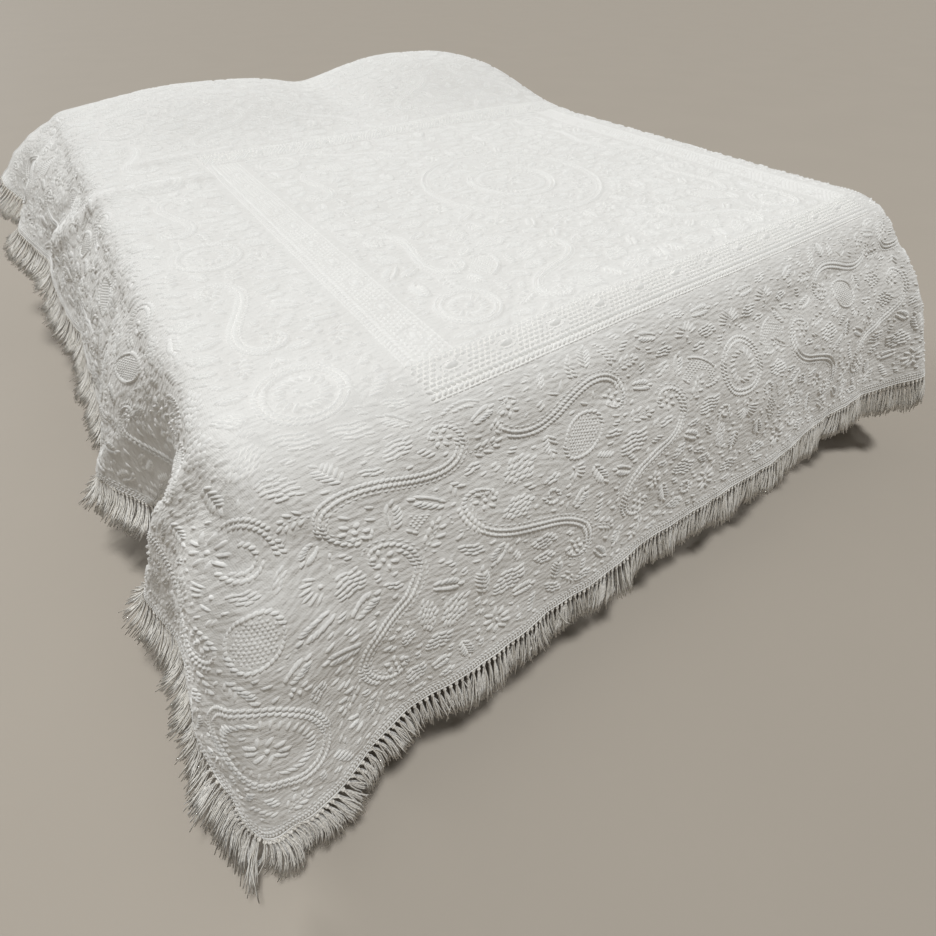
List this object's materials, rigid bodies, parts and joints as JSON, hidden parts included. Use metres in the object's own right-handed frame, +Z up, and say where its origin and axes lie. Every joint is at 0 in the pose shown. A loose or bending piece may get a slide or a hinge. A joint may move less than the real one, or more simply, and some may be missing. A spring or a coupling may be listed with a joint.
{
  "type": "bedspread on bed",
  "caption": "White matelasse bedspread with a knotted fringe on its sides and foot, draped over a plain bed with pillows under the cloth.",
  "frame": {"origin": "on the floor under the middle of the mattress", "axes": "+Z up, +Y towards the head of the bed, -Y towards the foot, -X towards the bed's left side as seen from the foot"},
  "size_m": [2.1574, 2.2779, 0.8375],
  "materials": {
    "matelasse_cotton": "white double-woven cotton with raised scroll and leaf relief",
    "cotton_yarn": "soft twisted cotton yarn, knotted under the hem",
    "pillow_cotton": "plain white cotton",
    "mattress_ticking": "plain woven ticking",
    "base_cover": "plain grey upholstery cloth"
  },
  "bodies": {
    "root": {"bedspread": "matelasse_cotton", "fringe_left": "cotton_yarn", "fringe_foot": "cotton_yarn", "fringe_right": "cotton_yarn", "pillow_left": "pillow_cotton", "pillow_right": "pillow_cotton", "mattress": "mattress_ticking", "bed_base": "base_cover"}
  },
  "joints": []
}
